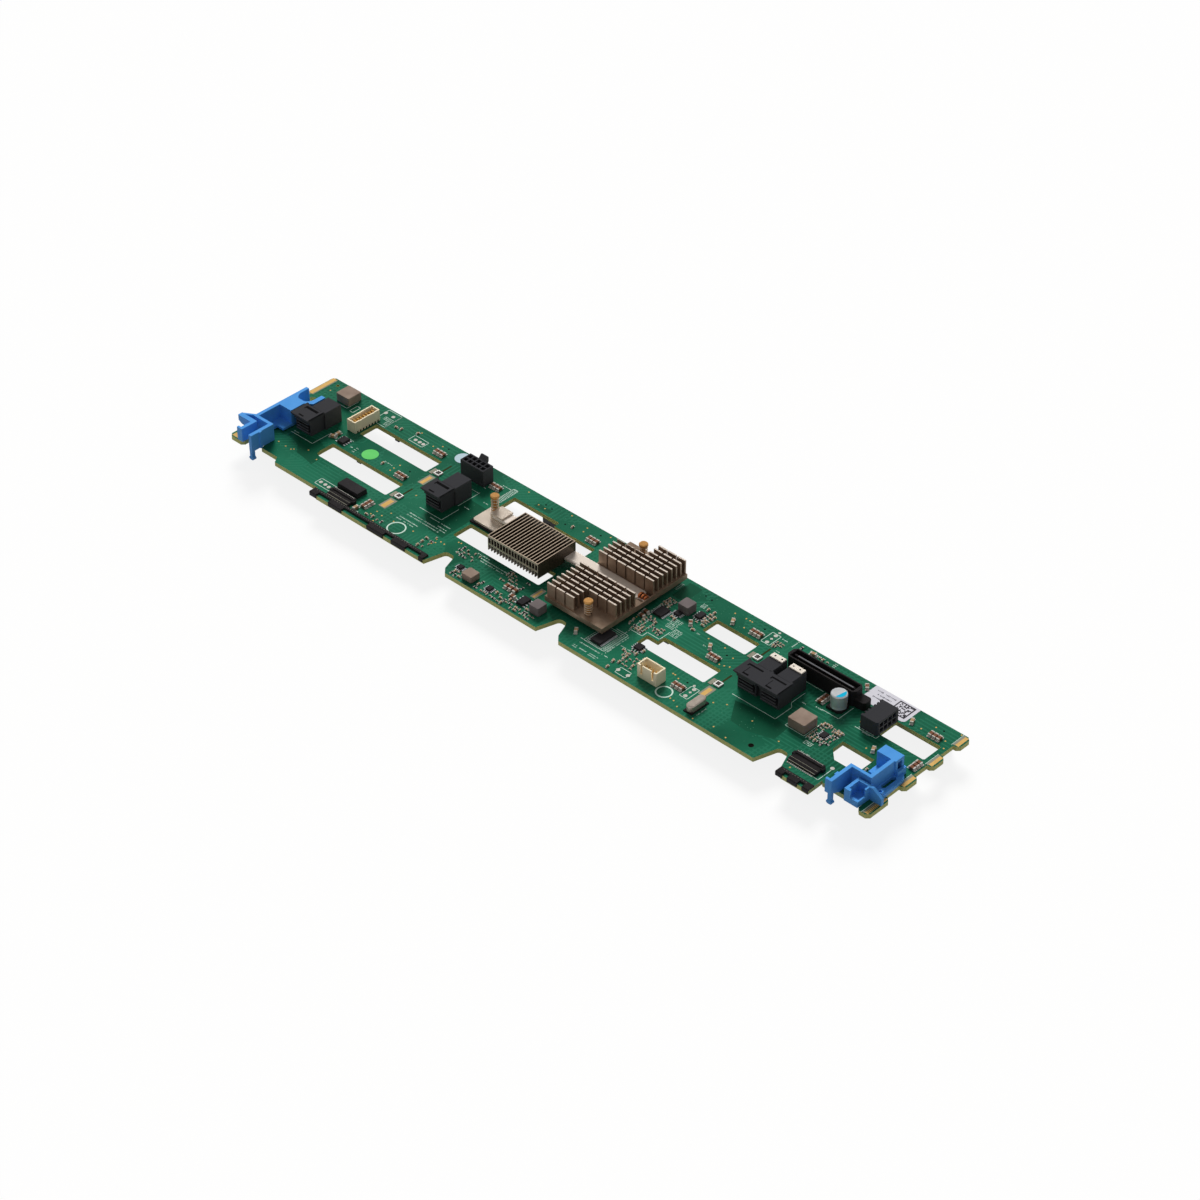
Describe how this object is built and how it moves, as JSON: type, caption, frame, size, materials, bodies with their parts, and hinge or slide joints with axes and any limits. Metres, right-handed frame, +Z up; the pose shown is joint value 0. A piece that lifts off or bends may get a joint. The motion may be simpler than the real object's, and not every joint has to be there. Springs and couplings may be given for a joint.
{
  "type": "drive backplane board",
  "caption": "Long slotted server backplane board with drive receptacles below, data and power connectors, a heat-pipe cooler and blue release latches.",
  "frame": {"origin": "middle of the part's box, on the plane that the drive receptacles' faces rest on", "axes": "+X along the board's length, +Y towards its straight back edge, +Z up out of the component side"},
  "size_m": [0.4216, 0.078, 0.0246],
  "materials": {
    "board": "green solder mask over glass laminate",
    "latch_blue": "moulded",
    "nickel": "nickel plated",
    "pipe": "plated copper tube",
    "black_resin": "moulded",
    "receptacle": "moulded",
    "brass": "turned",
    "spring": "drawn wire and strip",
    "gold_pins": "plated",
    "ivory": "moulded",
    "choke": "pressed powder",
    "can": "drawn",
    "paper": "printed"
  },
  "bodies": {
    "root": {"bracket_pad": "black_resin", "bracket_plate": "nickel", "can_base": "black_resin", "can_capacitor": "can", "card_slot": "black_resin", "circuit_board": "board", "control_chips": "black_resin", "crystal_base": "black_resin", "crystal_can": "can", "data_port_double": "black_resin", "data_port_left": "black_resin", "data_port_middle": "black_resin", "double_port_strips": "spring", "drive_receptacle_1_1": "receptacle", "drive_receptacle_1_2": "receptacle", "drive_receptacle_1_3": "receptacle", "drive_receptacle_1_4": "receptacle", "drive_receptacle_2_1": "receptacle", "drive_receptacle_2_2": "receptacle", "drive_receptacle_2_3": "receptacle", "drive_receptacle_2_4": "receptacle", "drive_receptacle_3_1": "receptacle", "drive_receptacle_3_2": "receptacle", "drive_receptacle_3_3": "receptacle", "drive_receptacle_3_4": "receptacle", "edge_strip_left": "black_resin", "edge_strip_right": "black_resin", "expander_chip": "black_resin", "fan_header": "ivory", "fan_header_pins": "gold_pins", "fin_stack": "nickel", "heat_pipe": "pipe", "large_heat_sink": "nickel", "left_latch": "latch_blue", "light_frames": "ivory", "light_windows": "black_resin", "pin_springs": "spring", "power_chokes": "choke", "power_header": "black_resin", "power_header_pins": "gold_pins", "ribbon_connector_left": "black_resin", "ribbon_connector_right": "black_resin", "right_latch": "latch_blue", "round_stickers": "paper", "sense_header": "ivory", "sense_header_pins": "gold_pins", "service_label": "paper", "side_header": "black_resin", "side_header_pins": "gold_pins", "sink_pins": "brass"}
  },
  "joints": []
}
